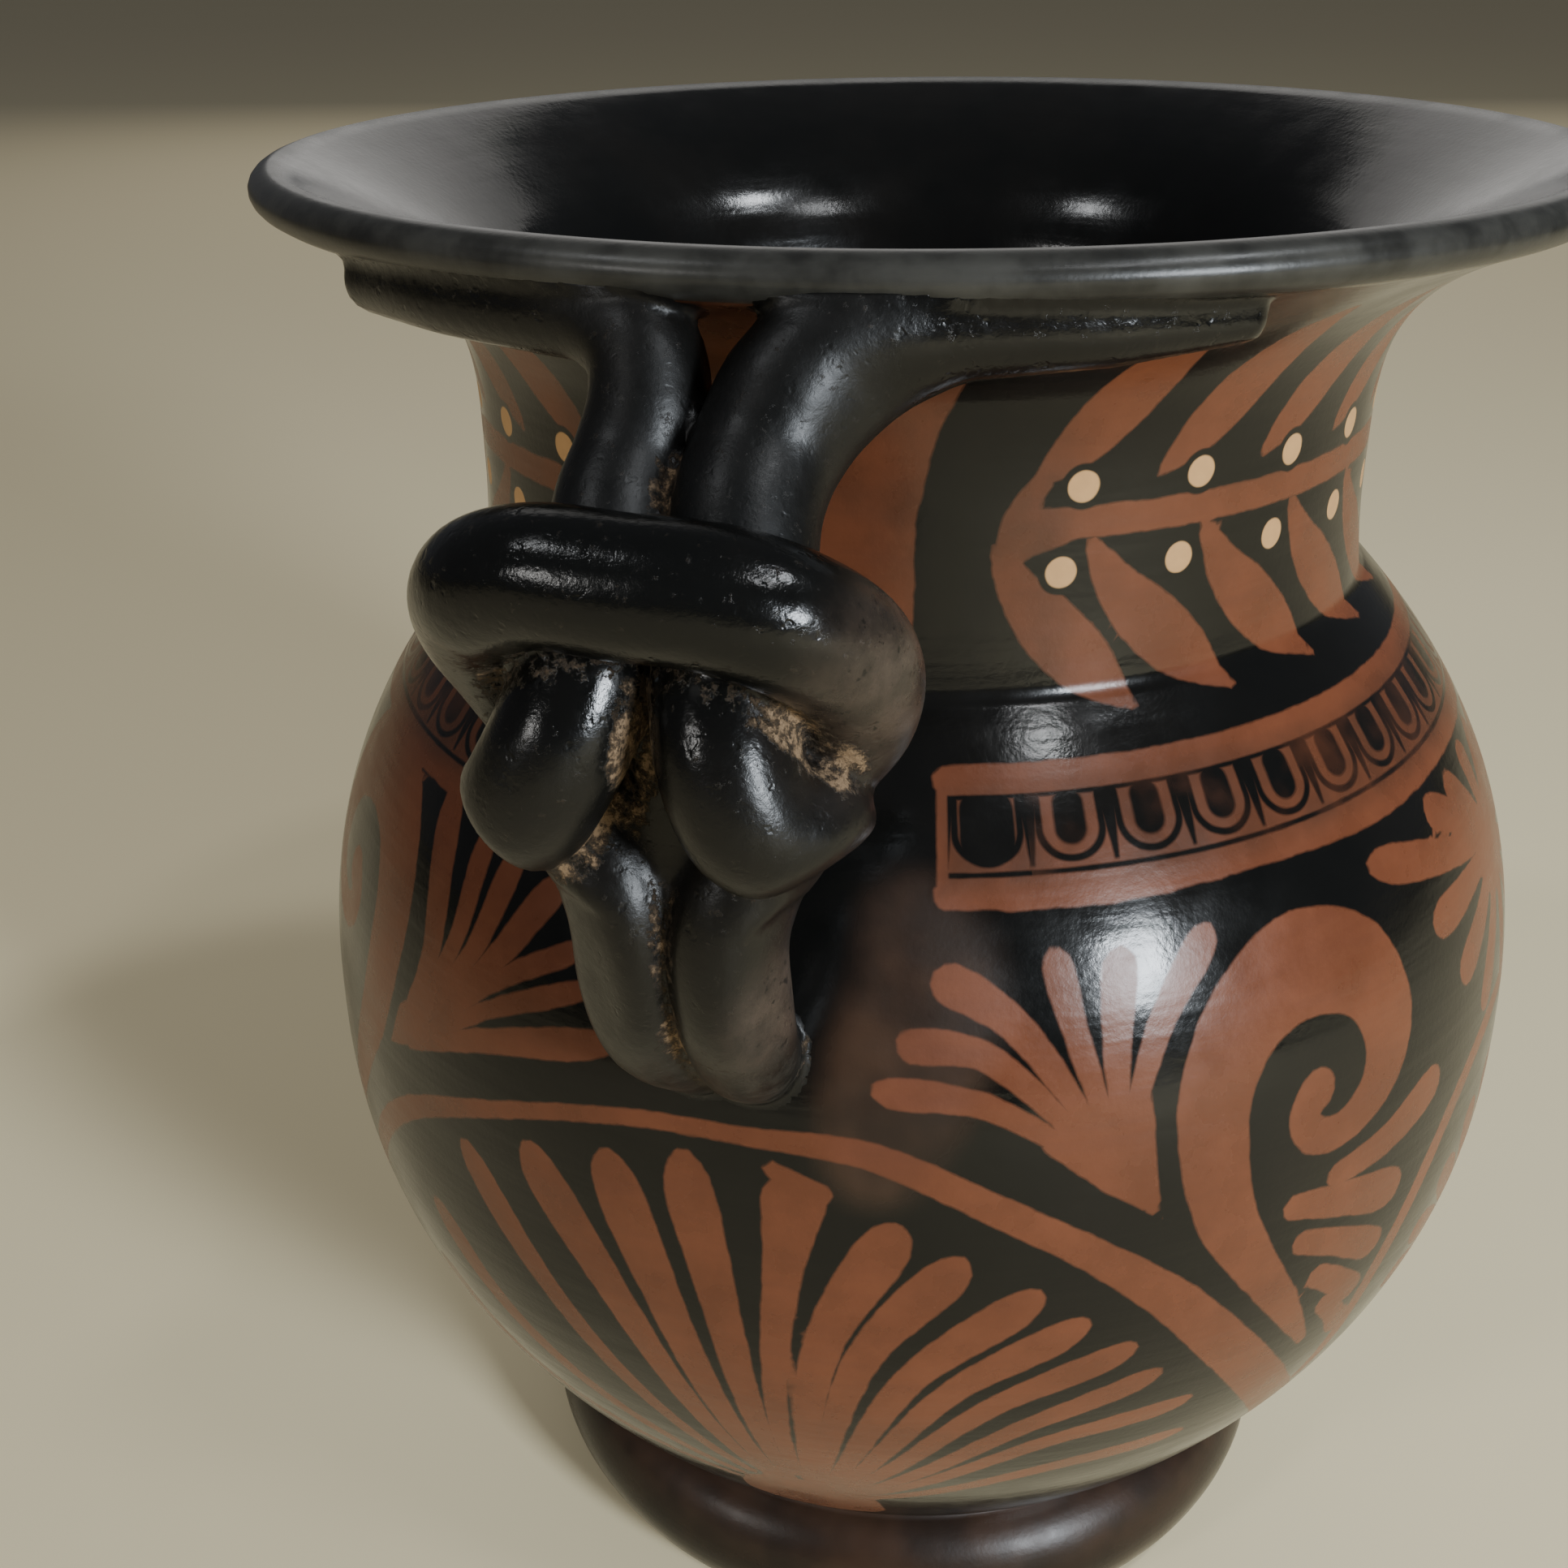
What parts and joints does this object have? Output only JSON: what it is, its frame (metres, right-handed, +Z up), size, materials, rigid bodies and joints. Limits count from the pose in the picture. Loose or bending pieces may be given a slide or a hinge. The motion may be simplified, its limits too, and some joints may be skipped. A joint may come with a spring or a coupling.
{
  "type": "olpe",
  "caption": "Squat red-figure olpe with a flared lip, a ring foot and one handle tied in a Herakles knot.",
  "frame": {"origin": "on the table under the middle of the bounding box, between the rim's back and the knot's front", "axes": "+Z up along the thrown vessel's axis, -Y towards the knotted handle, +X to the right of the handle"},
  "size_m": [0.145, 0.167, 0.1745],
  "materials": {
    "black_gloss_clay": "fired clay under black gloss, with red clay left bare in the painted pattern"
  },
  "bodies": {
    "root": {"olpe": "black_gloss_clay"}
  },
  "joints": []
}
